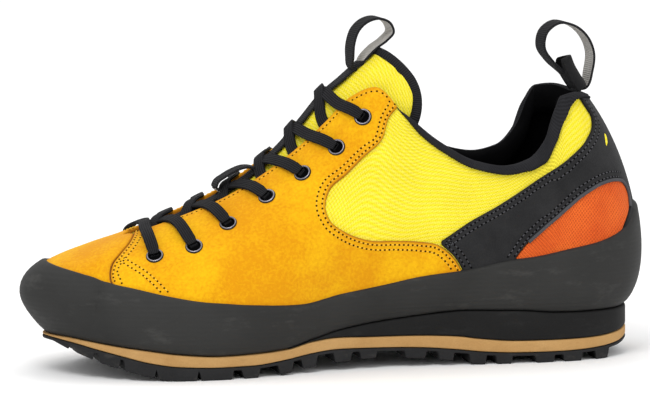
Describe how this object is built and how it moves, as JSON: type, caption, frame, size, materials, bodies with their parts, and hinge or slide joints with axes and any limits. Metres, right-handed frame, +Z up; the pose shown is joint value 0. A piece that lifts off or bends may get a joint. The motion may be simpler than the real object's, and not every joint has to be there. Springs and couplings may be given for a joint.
{
  "type": "approach shoe",
  "caption": "Low approach shoe for the right foot: yellow mesh and orange suede upper, tall black rubber rand, tan-striped lugged sole, flat black lace.",
  "frame": {"origin": "middle of the shoe's footprint box, on the floor", "axes": "-X towards the toe, +X towards the heel, -Y towards the inner (medial) side, +Y towards the outer side, +Z up"},
  "size_m": [0.2808, 0.1034, 0.1514],
  "materials": {
    "rubber_black": "matte moulded outsole rubber",
    "rand_rubber": "matte rand rubber",
    "foam_black": "matte foam",
    "foam_tan": "matte foam",
    "mesh_yellow": "woven mesh, padded",
    "suede": "suede, open nap",
    "nubuck_black": "nubuck, matte",
    "insert_red": "suede, open nap",
    "trim_black": "padded lining fabric",
    "webbing_black": "ribbed webbing",
    "insole_grey": "insole cover cloth",
    "eyelet_metal": "dark plated metal",
    "lace_black": "flat braided lace"
  },
  "bodies": {
    "root": {"outsole": "rubber_black", "midsole_tan": "foam_tan", "midsole_wedge": "foam_black", "rand": "rand_rubber", "insole": "insole_grey", "upper": "mesh_yellow", "vamp_medial": "suede", "vamp_lateral": "suede", "toe_panel": "suede", "heel_band": "nubuck_black", "insert_medial": "insert_red", "insert_lateral": "insert_red", "collar_trim": "trim_black", "tongue": "mesh_yellow", "tongue_binding": "trim_black", "tongue_strip": "webbing_black", "tongue_loop": "webbing_black", "keeper_loop": "webbing_black", "heel_loop": "webbing_black", "heel_tab": "trim_black", "eyelet_medial_1": "eyelet_metal", "eyelet_medial_2": "eyelet_metal", "eyelet_medial_3": "eyelet_metal", "eyelet_medial_4": "eyelet_metal", "eyelet_medial_5": "eyelet_metal", "eyelet_medial_6": "eyelet_metal", "eyelet_medial_7": "eyelet_metal", "eyelet_lateral_1": "eyelet_metal", "eyelet_lateral_2": "eyelet_metal", "eyelet_lateral_3": "eyelet_metal", "eyelet_lateral_4": "eyelet_metal", "eyelet_lateral_5": "eyelet_metal", "eyelet_lateral_6": "eyelet_metal", "eyelet_lateral_7": "eyelet_metal", "lace_bar_1": "lace_black", "lace_cross_1": "lace_black", "lace_cross_2": "lace_black", "lace_cross_3": "lace_black", "lace_cross_4": "lace_black", "lace_cross_5": "lace_black", "lace_cross_6": "lace_black"}
  },
  "joints": []
}
